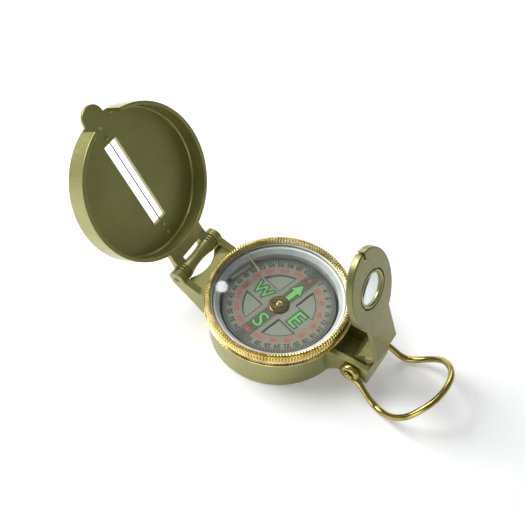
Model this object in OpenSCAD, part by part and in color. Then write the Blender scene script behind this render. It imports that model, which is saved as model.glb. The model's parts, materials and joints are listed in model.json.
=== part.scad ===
// Sighting compass: a die-cast case with a liquid-damped dial, a knurled
// turning bezel, a sighting lid, a folding eyepiece and a wire thumb loop.
// Origin: centre of the case's underside. +X runs from the lid hinge to the
// eyepiece, +Z is up. All lengths are in millimetres.

/* [Case] */
// Outer radius of the round case
case_r = 26.3; // [26:0.1:26.6]
// Height of the case wall up to the bezel seat
case_h = 14.8; // [14.6:0.1:14.85]
// Thickness of the case floor
case_floor = 2.0; // [1.4:0.1:2.1]
// Thickness of each front ear, across the hinge axis
ear_t = 2.1; // [1.8:0.1:2.4]

/* [Bezel] */
// Outer radius over the knurl
knurl_r = 26.9; // [26.8:0.05:27.1]
// Number of knurl teeth
knurl_n = 150; // [90:1:160]
// Height of the bezel's top edge above the underside
bezel_top = 20.2; // [19.6:0.1:20.25]

/* [Dial] */
// Radius of the floating dial card
dial_r = 20.8; // [20:0.1:21.5]
// Direction of the dial's north mark, from +X towards +Y, in degrees
north = 75; // [0:1:359]
// Half width of the cross arms between the dial's four windows
arm_w = 4.5; // [3.5:0.1:5]

/* [Lid] */
// Outer radius of the lid
lid_r = 29; // [28.9:0.1:29.4]
// Angle that the lid stands open, in degrees
lid_open = 121.6; // [0:0.1:121.6]
// Length of the sighting slot
slot_len = 36.2; // [30:0.2:37]
// Width of the sighting slot
slot_w = 6.6; // [5:0.1:7]

/* [Eyepiece] */
// Angle that the eyepiece stands up from its folded place, in degrees
eye_open = 74.2; // [0:0.1:74.2]
// Half width of the eyepiece head
head_w = 12; // [11:0.1:12.4]
// Half length of the eyepiece head
head_l = 16.7; // [15:0.1:16.7]
// Width of the eyepiece neck
neck_w = 12.8; // [11.5:0.1:13]

/* [Thumb loop] */
// Diameter of the loop's wire
wire_d = 2.4; // [2:0.1:2.4]

/* [Hidden] */
$fn = 96;
eps = 0.01;

// Case, capsule and bezel heights
spigot_top = 16.4;
spigot_r = 25.1;
spigot_bore_r = 24.3;
bowl_r = 24.25;
bowl_bottom = 2.6;
bowl_floor_top = 4.2;
bowl_top = 16.0;
bowl_bore_r = 21.9;
gasket_t = 0.2;
lens_t = 0.6;
flange_r = 27.6;
flange_z = 14.95;
flange_t = 0.6;
ledge_z = 16.85;
crystal_z = 17.25;
crystal_t = 0.8;
crystal_r = 25.0;
glass_edge_r = 24.85;
knurl_depth = 0.55;
knurl_top = 19.5;
crest_r = 26.2;
spring_wire_r = 0.3;
spring_z = 15.95;

// Dial heights, with the pivot tip just under the jewel cup
card_z = 12.4;
tip_z = 11.42;
tip_h = 1.22;
jewel_top = 12.25;
hub_bottom = 8.95;
hub_top = 14.2;
hub_bore_r = 0.95;
post_top = 8.8;
card_t = 0.45;
window_r = 13.3;
magnet_t = 1.2;
magnet_w = 4.8;
magnet_len = 38;

// Lid hinge and lid heights, with the lid closed
hinge_x = -36.8;
hinge_z = 16.3;
hinge_pin_r = 1.2;
pin_play = 0.06;
spool_half = 9.3;
lug_in = 9.7;
lug_out = 12.6;
lug_r = 3.5;
web_edge_x = -31.3;
web_gap_r = 12.2;
spool_r = 3.3;
lid_rim = 15.8;
lid_floor = 22.75;
lid_top = 24.4;
lid_bore_r = 27.6;
tab_r = 5;
hinge_plate_x = -32.2;
notch_half = 6.8;
peg_x = 20.3;
dot_x = 24.4;

// Eyepiece and loop pivot, and the folded eyepiece
pivot_x = 35.5;
pivot_z = 10.4;
pivot_r = 1.3;
ear_in = 6.0;
ear_out = ear_in + ear_t;
ear_top = 14.5;
ear_bottom = 6.0;
ear_front = 41.9;
end_wall_t = 1.6;
tray_t = 1.1;
foot_half = 5.5;
plate_top = 22.55;
head_bottom = 19.85;
neck_bottom = 20.45;
bend_x = 26.5;
head_x = bend_x - 30.1;
lens_r = 6.0;
lens_z = 21.35;
ring_r = 7.5;
eye_ring_r = pivot_r + 0.15 + wire_d / 2;
eye_y = 9.5;

// Thumb loop route from the eye to the tip, one side, chosen by hand
loop_route = [[37.6, 9.5, 8.8], [40.2, 9.9, 7.0], [43.0, 10.6, 4.6], [45.4, 11.1, 2.5],
              [48.2, 11.8, 1.35], [52.2, 13.2, 2.5], [56.8, 14.3, 5.6], [61.2, 13.3, 9.4],
              [65.0, 10.0, 13.2], [67.6, 5.4, 15.8]];
loop_tip = [68.5, 0, 16.8];
loop_sides = 12;
loop_steps = 5;

function unit(v) = v / norm(v);
function spline(a, b, c, d, t) =
    0.5 * (2 * b + (c - a) * t + (2 * a - 5 * b + 4 * c - d) * t * t
           + (3 * b - a - 3 * c + d) * t * t * t);
function mirror_y(p) = [p[0], -p[1], p[2]];

// A ring with its own bore, from z0 up to z1
module ring(r_out, r_in, z0, z1) {
    translate([0, 0, z0]) difference() {
        cylinder(r = r_out, h = z1 - z0);
        translate([0, 0, -eps]) cylinder(r = r_in, h = z1 - z0 + 2 * eps);
    }
}

// A cylinder along Y, centred on y = 0
module y_rod(x, z, r, len) {
    translate([x, 0, z]) rotate([90, 0, 0]) cylinder(r = r, h = len, center = true);
}

// A plate along Y with the outline of its children in the XZ plane
module y_plate(y0, y1) {
    translate([0, y1, 0]) rotate([90, 0, 0]) linear_extrude(height = y1 - y0) children();
}

module both_sides() {
    children();
    mirror([0, 1, 0]) children();
}

module lug_outline() {
    translate([hinge_x, hinge_z]) circle(r = lug_r);
    polygon([[hinge_x - lug_r, hinge_z], [hinge_x, hinge_z + lug_r], [-26, case_h - 0.1],
             [-22, case_h - 0.1], [-22, 3.4], [-26, 3.4], [-31.5, 8.2], [-38.6, 13.4]]);
}

module case_web() {
    difference() {
        translate([-34, -lug_in - 1, 7]) cube([12, 2 * lug_in + 2, 7.3]);
        translate([web_edge_x - web_gap_r, 0, 6]) cylinder(r = web_gap_r, h = 10);
        y_rod(-34.5, 6.2, 4.2, 40);
    }
}

module front_block() {
    difference() {
        union() {
            translate([20, -ear_out, ear_bottom])
                cube([ear_front - 20, 2 * ear_out, ear_top - ear_bottom]);
            y_plate(-ear_out, ear_out) polygon([[22, 2.6], [26, 2.6], [30, ear_bottom + eps],
                                                [22, ear_bottom + eps]]);
        }
        translate([20, -ear_in, ear_bottom + tray_t])
            cube([ear_front - end_wall_t - 20, 2 * ear_in, 12]);
        y_rod(pivot_x, pivot_z, pivot_r, 40);
    }
}

module case() {
    color([0.55, 0.54, 0.34]) difference() {
        union() {
            rotate_extrude() polygon([[0, 0], [case_r - 0.8, 0], [case_r, 0.8],
                                      [case_r, case_h], [spigot_r, case_h],
                                      [spigot_r, spigot_top], [0, spigot_top]]);
            both_sides() y_plate(lug_in, lug_out) lug_outline();
            case_web();
            front_block();
        }
        translate([0, 0, case_floor]) cylinder(r = spigot_bore_r, h = 20);
        ring(lid_r + 0.4, case_r - eps, case_h, 30);
        rotate_extrude() translate([spigot_r, spring_z]) circle(r = spring_wire_r, $fn = 24);
        y_rod(hinge_x, hinge_z, hinge_pin_r, 40);
    }
}

module capsule_bowl() {
    color([0.9, 0.9, 0.87]) difference() {
        rotate_extrude() polygon([[8, bowl_bottom], [bowl_r - 0.4, bowl_bottom],
                                  [bowl_r - 0.05, bowl_bottom + 0.4], [bowl_r - 0.05, bowl_top],
                                  [23.3, bowl_top], [bowl_bore_r, 14.6],
                                  [bowl_bore_r, bowl_floor_top], [8, bowl_floor_top]]);
        translate([0, 16, 0]) cylinder(r = 1.2, h = 6);
        translate([0, 16, 3.6]) cylinder(r = 2.2, h = 2);
    }
}

module expansion_diaphragm() {
    color([0.75, 0.6, 0.3]) rotate_extrude() polygon([
        [0, 3.3], [3, 3.3], [4, 2.7], [6, 2.7], [7, 3.3], [7.6, 2.3], [11, 2.3],
        [11, 2.55], [7.8, 2.55], [7.3, 3.6], [6.8, 3.6], [5.8, 3.0], [4.2, 3.0],
        [3.2, 3.6], [0, 3.6]]);
}

module fill_screw() {
    color([0.8, 0.8, 0.78]) translate([0, 16, 0]) difference() {
        union() {
            translate([0, 0, 2.7]) cylinder(r = 1.15, h = 1.5);
            translate([0, 0, 3.65]) cylinder(r = 2.1, h = 0.8);
        }
        translate([-2.5, -0.25, 4.1]) cube([5, 0.5, 1]);
    }
}

// Three-legged post that stands on the bowl's floor and carries the needle
module pivot_post() {
    color([0.8, 0.68, 0.36]) difference() {
        union() {
            ring(10.5, 8.6, bowl_floor_top, bowl_floor_top + 0.8);
            for (i = [0:2]) rotate([0, 0, 120 * i + 30])
                translate([0, -1.2, bowl_floor_top]) cube([9.5, 2.4, 0.8]);
            translate([0, 0, bowl_floor_top])
                cylinder(r = 2.6, h = post_top - 1.4 - bowl_floor_top + eps);
            translate([0, 0, post_top - 1.4]) cylinder(r1 = 2.6, r2 = 1.3, h = 1.4);
        }
        translate([0, 0, bowl_floor_top + 2]) cylinder(r = 0.6, h = 10);
    }
}

module pivot_needle() {
    color([0.7, 0.7, 0.72]) {
        translate([0, 0, bowl_floor_top + 2])
            cylinder(r = 0.6, h = tip_z - tip_h - bowl_floor_top - 2 + eps);
        translate([0, 0, tip_z - tip_h]) cylinder(r1 = 0.6, r2 = 0.1, h = tip_h);
    }
}

module dial_windows() {
    for (i = [0:3]) rotate(north + 45 + 90 * i) intersection() {
        circle(r = window_r);
        rotate(-45) translate([arm_w, arm_w]) square(20);
    }
}

module dial_card() {
    color([0.86, 0.82, 0.76]) translate([0, 0, card_z]) linear_extrude(height = card_t)
        difference() {
            circle(r = dial_r);
            dial_windows();
            circle(r = 1.8);
        }
}

module magnet_bar() {
    color([0.36, 0.28, 0.2]) rotate([0, 0, north]) difference() {
        translate([-magnet_len / 2, -magnet_w / 2, card_z - magnet_t])
            cube([magnet_len, magnet_w, magnet_t]);
        translate([0, 0, card_z - 5]) cylinder(r = 1.8, h = 10);
    }
}

module dial_hub() {
    color([0.78, 0.6, 0.25]) difference() {
        rotate_extrude() polygon([[0, hub_bottom], [1.4, hub_bottom], [1.75, hub_bottom + 0.4],
                                  [1.75, card_z + card_t], [4, card_z + card_t], [4, 13.15],
                                  [3.7, 13.35], [1.6, 13.35], [1.3, hub_top - 0.2], [0, hub_top]]);
        translate([0, 0, 8]) cylinder(r = hub_bore_r, h = jewel_top + 0.05 - 8);
    }
}

module pivot_jewel() {
    color([0.75, 0.1, 0.2]) rotate_extrude() polygon([
        [0, jewel_top], [0.9, jewel_top], [0.9, jewel_top - 1.25], [0.5, jewel_top - 1.25],
        [0, jewel_top - 0.7]]);
}

module capsule_gasket() {
    color([0.15, 0.15, 0.15]) ring(24.1, 23.35, bowl_top, bowl_top + gasket_t);
}

module capsule_lens() {
    color([0.8, 0.9, 0.9, 0.3]) translate([0, 0, bowl_top + gasket_t])
        cylinder(r = 24.1, h = lens_t);
}

module bezel_ring() {
    color([0.85, 0.65, 0.25]) difference() {
        union() {
            ring(flange_r, spigot_r + 0.1, flange_z, flange_z + flange_t);
            translate([0, 0, flange_z + flange_t - eps]) linear_extrude(height = knurl_top
                - flange_z - flange_t + eps) polygon([for (i = [0:2 * knurl_n - 1])
                let (a = 180 * i / knurl_n, r = knurl_r - knurl_depth * (i % 2))
                r * [cos(a), sin(a)]]);
            rotate_extrude() polygon([[0, flange_z + 0.2], [crest_r, flange_z + 0.2],
                                      [crest_r, bezel_top - 0.3], [crest_r - 0.3, bezel_top],
                                      [0, bezel_top]]);
        }
        rotate_extrude() polygon([
            [0, flange_z - 1], [spigot_r + 0.1, flange_z - 1], [spigot_r + 0.1, ledge_z - 0.3],
            [24.5, ledge_z - 0.3], [24.5, ledge_z + 0.25], [crystal_r, ledge_z + 0.25],
            [crystal_r, crystal_z + crystal_t], [glass_edge_r, crystal_z + crystal_t],
            [25.3, bezel_top + 1], [0, bezel_top + 1]]);
        rotate_extrude() translate([spigot_r, spring_z]) circle(r = spring_wire_r + 0.1, $fn = 24);
    }
}

module crystal_gasket() {
    color([0.12, 0.12, 0.12]) ring(crystal_r - 0.02, 24.5, ledge_z + 0.25, crystal_z);
}

module bezel_crystal() {
    color([0.85, 0.93, 0.93, 0.25]) translate([0, 0, crystal_z])
        cylinder(r = crystal_r - 0.02, h = crystal_t);
}

module marching_line() {
    color([0.85, 0.85, 0.45]) rotate([0, 0, 153.5])
        translate([13.8, -0.25, crystal_z + crystal_t]) cube([10.6, 0.5, 0.08]);
}

module luminous_bar() {
    color([0.85, 0.9, 0.8]) rotate([0, 0, 161.6])
        translate([16.8, -1.3, crystal_z + crystal_t]) cube([2, 9.8, 0.12]);
}

// Split ring that holds the bezel on the case and gives it friction
module bezel_spring() {
    color([0.75, 0.75, 0.78]) difference() {
        rotate_extrude() translate([spigot_r, spring_z])
            circle(r = spring_wire_r - 0.03, $fn = 24);
        rotate([0, 0, 200]) translate([20, -1.2, 15]) cube([10, 2.4, 2]);
    }
}

module at_lid() {
    translate([hinge_x, 0, hinge_z]) rotate([0, -lid_open, 0])
        translate([-hinge_x, 0, -hinge_z]) children();
}

// Waisted barrel of the lid, with two ridges at each end
module lid_spool() {
    translate([hinge_x, spool_half, hinge_z]) rotate([90, 0, 0]) rotate_extrude() polygon(concat(
        [[0, 0], [spool_r, 0], [spool_r, 0.9], [spool_r - 0.3, 1.1], [spool_r - 0.3, 1.5],
         [spool_r, 1.7], [spool_r, 2.6]],
        [for (i = [0:10]) let (t = i / 10) [2.35 + 0.75 * pow(2 * t - 1, 2),
                                            3.0 + t * (2 * spool_half - 6.0)]],
        [[spool_r, 2 * spool_half - 2.6], [spool_r, 2 * spool_half - 1.7],
         [spool_r - 0.3, 2 * spool_half - 1.5], [spool_r - 0.3, 2 * spool_half - 1.1],
         [spool_r, 2 * spool_half - 0.9], [spool_r, 2 * spool_half], [0, 2 * spool_half]]));
}

module lid() {
    color([0.5, 0.48, 0.27]) at_lid() difference() {
        union() {
            rotate_extrude() polygon([[0, lid_floor], [lid_bore_r - 0.9, lid_floor],
                                      [lid_bore_r, lid_floor - 0.9], [lid_bore_r, lid_rim],
                                      [lid_r, lid_rim], [lid_r, lid_top - 0.6],
                                      [lid_r - 0.6, lid_top], [0, lid_top]]);
            translate([lid_r, 0, lid_floor]) cylinder(r = tab_r, h = lid_top - lid_floor - 0.2);
            difference() {
                translate([hinge_plate_x, -spool_half, lid_rim])
                    cube([-26 - hinge_plate_x, 2 * spool_half, 2.4]);
                cylinder(r = lid_bore_r, h = 40);
            }
            both_sides() y_plate(5, spool_half)
                polygon([[hinge_x, hinge_z - 1.6], [-31.3, lid_rim - 0.2], [-31.3, lid_rim + 2.4],
                         [hinge_x, hinge_z + 2.6]]);
            lid_spool();
        }
        translate([25, -notch_half, 10]) cube([10, 2 * notch_half, lid_floor - 10]);
        translate([-slot_len / 2, -slot_w / 2, 20]) cube([slot_len, slot_w, 8]);
        for (s = [-1, 1]) {
            translate([s * peg_x, 0, 20]) cylinder(r = 0.8, h = 4);
            translate([s * dot_x, 0, 20]) cylinder(r = 0.8, h = lid_floor + 0.5 - 20);
            translate([min(s * peg_x, s * 18), -0.22, 22]) cube([peg_x - 18, 0.44, 1.2]);
        }
        y_rod(hinge_x, hinge_z, hinge_pin_r + pin_play, 40);
    }
}

module sighting_wire() {
    color([0.35, 0.35, 0.38]) at_lid() translate([-peg_x + 0.5, 0, 22.98])
        rotate([0, 90, 0]) cylinder(r = 0.2, h = 2 * peg_x - 1, $fn = 16);
}

module wire_pegs() {
    color([0.8, 0.7, 0.4]) at_lid() for (s = [-1, 1])
        translate([s * peg_x, 0, 22.5]) cylinder(r = 0.78, h = 1.5, $fn = 32);
}

module lid_dots() {
    color([0.75, 0.8, 0.55]) at_lid() for (s = [-1, 1])
        translate([s * dot_x, 0, 22.65]) cylinder(r = 0.78, h = 0.58, $fn = 32);
}

module lid_hinge_pin() {
    color([0.6, 0.6, 0.6]) y_rod(hinge_x, hinge_z, hinge_pin_r, 2 * lug_out + 0.4);
}

module lid_washers() {
    color([0.75, 0.62, 0.3]) both_sides() translate([hinge_x, lug_in - 0.03, hinge_z])
        rotate([90, 0, 0]) ring(2.9, hinge_pin_r + 0.02, 0, 0.3);
}

module at_eyepiece() {
    translate([pivot_x, 0, pivot_z]) rotate([0, eye_open, 0])
        translate([-pivot_x, 0, -pivot_z]) children();
}

module head_outline() {
    translate([head_x, 0]) polygon([for (a = [0:5:355]) [head_l * cos(a), head_w * sin(a)]]);
}

module eyepiece_bracket() {
    color([0.47, 0.48, 0.35]) at_eyepiece() difference() {
        union() {
            translate([0, 0, head_bottom]) linear_extrude(height = plate_top - head_bottom)
                union() {
                    head_outline();
                    translate([8, -neck_w / 2]) square([12, neck_w]);
                }
            translate([8, -neck_w / 2, neck_bottom])
                cube([bend_x - 8, neck_w, plate_top - neck_bottom]);
            y_plate(-neck_w / 2, neck_w / 2) polygon([
                [bend_x - 1, neck_bottom], [27.3, neck_bottom], [28.1, 16.4], [32.2, 16.4],
                [bend_x, plate_top], [bend_x - 1, plate_top]]);
            y_plate(-foot_half, foot_half) polygon([
                [27.7, 18.4], [28.8, 13.0], [33.4, 8.25], [pivot_x, 9.0], [38.2, 11.7],
                [32.2, 16.4], [30, 18.8]]);
            y_rod(pivot_x, pivot_z, 3.0, 2 * foot_half);
        }
        translate([head_x, 0, 0]) cylinder(r = lens_r, h = 40);
        translate([head_x, 0, 21.6]) cylinder(r = ring_r, h = 5);
        translate([head_x, 0, 10]) cylinder(r = lens_r + 0.7, h = 10.3);
        translate([head_x - head_l - 1, -0.6, 15]) cube([4.4, 1.2, 12]);
        y_rod(pivot_x, pivot_z, pivot_r + pin_play, 40);
    }
}

// Double-convex magnifying lens with a cylindrical edge
module eyepiece_lens() {
    color([0.8, 0.9, 0.98, 0.4]) at_eyepiece() translate([head_x, 0, lens_z]) rotate_extrude()
        polygon(concat([for (i = [0:8]) let (r = 5.95 * i / 8) [r, -0.62 + 0.4 * pow(r / 5.95, 2)]],
                       [for (i = [8:-1:0]) let (r = 5.95 * i / 8) [r, 0.62 - 0.4 * pow(r / 5.95, 2)]]));
}

module lens_ring() {
    color([0.5, 0.5, 0.36]) at_eyepiece() translate([head_x, 0, 0]) rotate_extrude()
        polygon([[5.6, 21.62], [7.45, 21.62], [7.45, 22.3], [7.15, 22.6], [6, 22.6], [5.6, 22.2]]);
}

module eyepiece_pin() {
    color([0.8, 0.62, 0.28]) {
        y_rod(pivot_x, pivot_z, pivot_r, 2 * eye_y + 3.2);
        both_sides() translate([pivot_x, eye_y + 2.3, pivot_z]) rotate([90, 0, 0])
            cylinder(r = 2.2, h = 0.9);
    }
}

module eyepiece_washers() {
    color([0.75, 0.62, 0.3]) both_sides() translate([pivot_x, ear_in - 0.03, pivot_z])
        rotate([90, 0, 0]) ring(2.8, pivot_r + 0.02, 0, 0.4);
}

// Wire swept along the loop route, closed at both ends inside the eyes
module loop_wire() {
    knots = concat([for (p = loop_route) mirror_y(p)], [loop_tip],
                   [for (i = [len(loop_route) - 1:-1:0]) loop_route[i]]);
    last = len(knots) - 1;
    path = concat([for (i = [0:last - 1], s = [0:loop_steps - 1])
        spline(knots[max(i - 1, 0)], knots[i], knots[i + 1], knots[min(i + 2, last)],
               s / loop_steps)], [knots[last]]);
    n = len(path);
    tangent = [for (i = [0:n - 1]) unit(path[min(i + 1, n - 1)] - path[max(i - 1, 0)])];
    side = [for (i = 0, v = unit(cross(tangent[0], [0, 1, 0])); i < n;
                 i = i + 1, v = i < n ? unit(v - (v * tangent[i]) * tangent[i]) : v) v];
    points = [for (i = [0:n - 1], j = [0:loop_sides - 1]) let (a = 360 * j / loop_sides)
        path[i] + wire_d / 2 * (cos(a) * side[i] + sin(a) * cross(tangent[i], side[i]))];
    walls = [for (i = [0:n - 2], j = [0:loop_sides - 1]) let (k = (j + 1) % loop_sides)
        [i * loop_sides + j, (i + 1) * loop_sides + j, (i + 1) * loop_sides + k,
         i * loop_sides + k]];
    caps = [[for (j = [0:loop_sides - 1]) j],
            [for (j = [loop_sides - 1:-1:0]) (n - 1) * loop_sides + j]];
    polyhedron(points = points, faces = concat(walls, caps));
}

module thumb_loop() {
    color([0.72, 0.56, 0.2]) union() {
        loop_wire();
        both_sides() translate([pivot_x, eye_y, pivot_z]) rotate([90, 0, 0]) rotate_extrude($fn = 40)
            translate([eye_ring_r, 0]) circle(r = wire_d / 2, $fn = 16);
    }
}

case();
capsule_bowl();
expansion_diaphragm();
fill_screw();
pivot_post();
pivot_needle();
dial_card();
magnet_bar();
dial_hub();
pivot_jewel();
capsule_gasket();
capsule_lens();
bezel_ring();
crystal_gasket();
bezel_crystal();
marching_line();
luminous_bar();
bezel_spring();
lid();
sighting_wire();
wire_pegs();
lid_dots();
lid_hinge_pin();
lid_washers();
eyepiece_bracket();
eyepiece_lens();
lens_ring();
eyepiece_pin();
eyepiece_washers();
thumb_loop();
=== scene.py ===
"""Looks of the sighting compass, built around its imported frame.

Shapes are written in millimetres in the compass's own frame and scaled to metres when they are finished.
The lid and the eyepiece are drawn closed and folded, then turned to where their hinges hold them at rest.
"""
import json
import math

import bmesh
import bpy
from mathutils import Matrix, Vector

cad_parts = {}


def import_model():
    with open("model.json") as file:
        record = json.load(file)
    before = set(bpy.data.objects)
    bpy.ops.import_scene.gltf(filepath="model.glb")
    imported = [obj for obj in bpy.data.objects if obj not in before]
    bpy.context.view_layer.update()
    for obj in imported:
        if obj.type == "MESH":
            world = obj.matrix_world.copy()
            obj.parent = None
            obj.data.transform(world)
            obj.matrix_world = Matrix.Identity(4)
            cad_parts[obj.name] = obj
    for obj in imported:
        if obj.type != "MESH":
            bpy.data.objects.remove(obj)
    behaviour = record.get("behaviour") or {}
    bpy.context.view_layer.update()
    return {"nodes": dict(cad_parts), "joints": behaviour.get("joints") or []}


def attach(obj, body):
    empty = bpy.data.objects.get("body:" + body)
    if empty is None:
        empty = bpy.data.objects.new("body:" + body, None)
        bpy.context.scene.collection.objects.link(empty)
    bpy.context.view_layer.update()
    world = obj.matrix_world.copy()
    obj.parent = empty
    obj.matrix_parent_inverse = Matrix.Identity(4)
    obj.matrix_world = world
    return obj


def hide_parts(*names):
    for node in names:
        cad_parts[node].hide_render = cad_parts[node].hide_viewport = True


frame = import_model()

MM = 0.001
TURN = 2 * math.pi
ROUND = 192          # segments of a large turned piece
SMALL_ROUND = 64     # segments of a small turned piece

joints = {j["name"]: j for j in frame["joints"]}
HINGE = Vector(joints["lid_hinge"]["pos_m"]) / MM
PIVOT = Vector(joints["eyepiece_hinge"]["pos_m"]) / MM
LID_OPEN = -math.radians(joints["lid_hinge"]["range_deg"][0])
EYE_OPEN = math.radians(joints["eyepiece_hinge"]["range_deg"][1])
NORTH = math.radians(75)


def about_y(centre, angle):
    """Turn by angle about an axis along Y through centre."""
    return Matrix.Translation(centre) @ Matrix.Rotation(angle, 4, "Y") @ Matrix.Translation(-centre)


AT_LID = about_y(HINGE, -LID_OPEN)
AT_EYE = about_y(PIVOT, EYE_OPEN)
ALONG_Y = Matrix.Rotation(math.pi / 2, 4, "X")     # stands an outline drawn in XY up in the XZ plane


# ---------------------------------------------------------------- outlines

def rounded(points, radius=0.25, steps=4):
    """A closed outline with its corners rounded. A point's third number is its own radius."""
    made = []
    count = len(points)
    for i, point in enumerate(points):
        here = Vector(point[:2])
        before = Vector(points[i - 1][:2]) - here
        after = Vector(points[(i + 1) % count][:2]) - here
        r = point[2] if len(point) > 2 else radius
        turn = before.angle(after, math.pi)
        if r <= 0 or turn > math.pi - 0.02:
            made.append(here)
            continue
        reach = min(r / math.tan(turn / 2), 0.48 * before.length, 0.48 * after.length)
        r = reach * math.tan(turn / 2)
        centre = here + (before.normalized() + after.normalized()).normalized() * r / math.sin(turn / 2)
        start = here + before.normalized() * reach - centre
        end = here + after.normalized() * reach - centre
        sweep = start.angle_signed(end)
        for k in range(steps + 1):
            spin = Matrix.Rotation(-sweep * k / steps, 2)
            made.append(centre + spin @ start)
    return made


def rectangle(x0, x1, y0, y1, radius):
    return rounded([(x0, y0), (x1, y0), (x1, y1), (x0, y1)], radius)


def ellipse(cx, cy, rx, ry, count=96):
    return [Vector((cx + rx * math.cos(TURN * i / count), cy + ry * math.sin(TURN * i / count)))
            for i in range(count)]


def inset(outline, by):
    """The outline moved in by a distance. It runs anticlockwise."""
    made = []
    for i, here in enumerate(outline):
        a = (here - outline[i - 1]).normalized()
        b = (outline[(i + 1) % len(outline)] - here).normalized()
        normal = Vector((-(a + b).y, (a + b).x)).normalized()
        made.append(here + normal * by / max(0.4, normal.dot(Vector((-a.y, a.x)))))
    return made


def anticlockwise(outline):
    area = sum(outline[i - 1].cross(p) for i, p in enumerate(outline))
    return outline if area > 0 else outline[::-1]


# ---------------------------------------------------------------- meshes

def mesh_object(name, build, place=Matrix.Identity(4)):
    """An object whose mesh build() fills, moved by place. It is in millimetres until piece() finishes it."""
    bm = bmesh.new()
    build(bm)
    bmesh.ops.remove_doubles(bm, verts=bm.verts, dist=1e-5)
    bmesh.ops.recalc_face_normals(bm, faces=bm.faces)
    bm.transform(place)
    mesh = bpy.data.meshes.new(name)
    bm.to_mesh(mesh)
    bm.free()
    obj = bpy.data.objects.new(name, mesh)
    bpy.context.scene.collection.objects.link(obj)
    return obj


def skin(bm, rings, closed_rings=True, closed_stack=False):
    """Quads between rings of points; a ring of one point is a pole."""
    made = [[bm.verts.new(Vector(p).to_3d() if len(p) == 2 else p) for p in ring] for ring in rings]
    pairs = list(zip(made, made[1:] + made[:1])) if closed_stack else list(zip(made, made[1:]))
    for low, high in pairs:
        n = max(len(low), len(high))
        for i in range(n if closed_rings else n - 1):
            j = (i + 1) % n
            corners = []
            for vert in (low[i % len(low)], low[j % len(low)], high[j % len(high)], high[i % len(high)]):
                if vert not in corners:
                    corners.append(vert)
            if len(corners) > 2:
                bm.faces.new(corners)
    return made


def lathe(name, profile, place=Matrix.Identity(4), count=ROUND):
    """A turned piece: a closed profile of (radius, height) points about Z."""
    def build(bm):
        rings = []
        for r, z in profile:
            if r < 1e-6:
                rings.append([(0, 0, z)])
            else:
                rings.append([(r * math.cos(TURN * i / count), r * math.sin(TURN * i / count), z)
                              for i in range(count)])
        skin(bm, rings, closed_stack=True)
    return mesh_object(name, build, place)


def rod(name, radius, z0, z1, place=Matrix.Identity(4), count=SMALL_ROUND):
    """A plain cylinder, used to cut bores."""
    return lathe(name, [(0, z0), (radius, z0), (radius, z1), (0, z1)], place, count)


def crosswise(x, z):
    """Lays a turned piece along Y through a point of the XZ plane."""
    return Matrix.Translation((x, 0, z)) @ ALONG_Y


def plate(name, outline, z0, z1, edge=0.3, steps=3, place=Matrix.Identity(4)):
    """A flat piece with rounded top and bottom edges."""
    outline = anticlockwise(outline)

    def build(bm):
        levels = []
        for k in range(steps + 1):
            a = math.pi / 2 * k / steps
            levels.append((z0 + edge * (1 - math.cos(a)), edge * (1 - math.sin(a))))
        levels += [(z0 + z1 - z, by) for z, by in reversed(levels)]
        rings = [[(p.x, p.y, z) for p in inset(outline, by)] for z, by in levels]
        made = skin(bm, rings)
        bm.faces.new(made[0][::-1])
        bm.faces.new(made[-1])
    return mesh_object(name, build, place)


def side_plate(name, outline, y0, y1, edge=0.3, place=Matrix.Identity(4)):
    """A plate whose outline lies in the XZ plane, from y0 to y1."""
    return plate(name, outline, -y1, -y0, edge, place=place @ ALONG_Y)


def tube(name, path, radius, sides=24, place=Matrix.Identity(4)):
    """A round wire along a path of points, with domed ends."""
    def build(bm):
        count = len(path)
        tangents = []
        for i in range(count):
            tangents.append((path[min(i + 1, count - 1)] - path[max(i - 1, 0)]).normalized())
        side = tangents[0].orthogonal().normalized()
        frames = []
        for tangent in tangents:
            side = (side - tangent * side.dot(tangent)).normalized()
            frames.append((side, tangent.cross(side)))

        def ring(centre, axes, r):
            return [centre + r * (math.cos(TURN * j / sides) * axes[0] + math.sin(TURN * j / sides) * axes[1])
                    for j in range(sides)]
        wire = [ring(p, axes, radius) for p, axes in zip(path, frames)]
        dome = [math.pi / 2 * k / 4 for k in (1, 2, 3)]
        start, end = -tangents[0] * radius * 0.8, tangents[-1] * radius * 0.8
        head = [ring(path[0] + start * math.sin(a), frames[0], radius * math.cos(a)) for a in reversed(dome)]
        tail = [ring(path[-1] + end * math.sin(a), frames[-1], radius * math.cos(a)) for a in dome]
        skin(bm, [[path[0] + start]] + head + wire + tail + [[path[-1] + end]])
    return mesh_object(name, build, place)


def apply_modifiers(obj):
    """Replaces an object's mesh by what its modifiers make of it."""
    graph = bpy.context.evaluated_depsgraph_get()
    mesh = bpy.data.meshes.new_from_object(obj.evaluated_get(graph))
    obj.modifiers.clear()
    obj.data = mesh


def combine(target, others, operation):
    for other in others:
        step = target.modifiers.new("step", "BOOLEAN")
        step.operation = operation
        step.solver = "EXACT"
        step.object = other
        apply_modifiers(target)
        bpy.data.objects.remove(other)


def cut(target, *tools):
    combine(target, tools, "DIFFERENCE")


def unite(target, *others):
    combine(target, others, "UNION")


def joined(name, parts):
    """One object from several that don't touch."""
    bm = bmesh.new()
    for part in parts:
        bm.from_mesh(part.data)
        bpy.data.objects.remove(part)
    mesh = bpy.data.meshes.new(name)
    bm.to_mesh(mesh)
    bm.free()
    obj = bpy.data.objects.new(name, mesh)
    bpy.context.scene.collection.objects.link(obj)
    return obj


def both_sides(name, make):
    """The piece that make(side) gives for y above and below zero."""
    return joined(name, [make(1), make(-1)])


def dress(obj, look):
    obj.data.materials.clear()
    obj.data.materials.append(look)


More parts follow.
